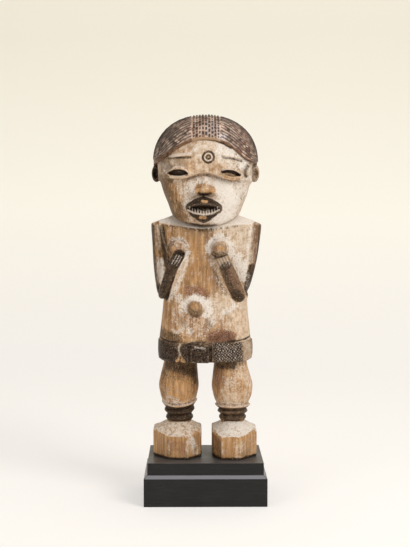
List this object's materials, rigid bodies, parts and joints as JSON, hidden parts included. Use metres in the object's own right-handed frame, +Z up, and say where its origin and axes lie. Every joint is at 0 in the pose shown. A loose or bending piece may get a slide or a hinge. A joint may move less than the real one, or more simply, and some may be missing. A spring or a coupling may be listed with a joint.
{
  "type": "carved wooden statue",
  "caption": "Standing carved wooden figure with hands raised to the breast and a broad visor-like forehead, resting on a stepped black wooden plinth.",
  "frame": {"origin": "centre of the plinth's underside, on the floor it stands on", "axes": "+Z up, the figure faces -Y, +X is the viewer's right"},
  "size_m": [0.141, 0.1277, 0.4496],
  "materials": {
    "carved_wood": "old hand-cut wood with white clay and dark crusted patina",
    "black_wood": "satin black stain"
  },
  "bodies": {
    "root": {"carved_figure": "carved_wood", "stepped_plinth": "black_wood"}
  },
  "joints": []
}
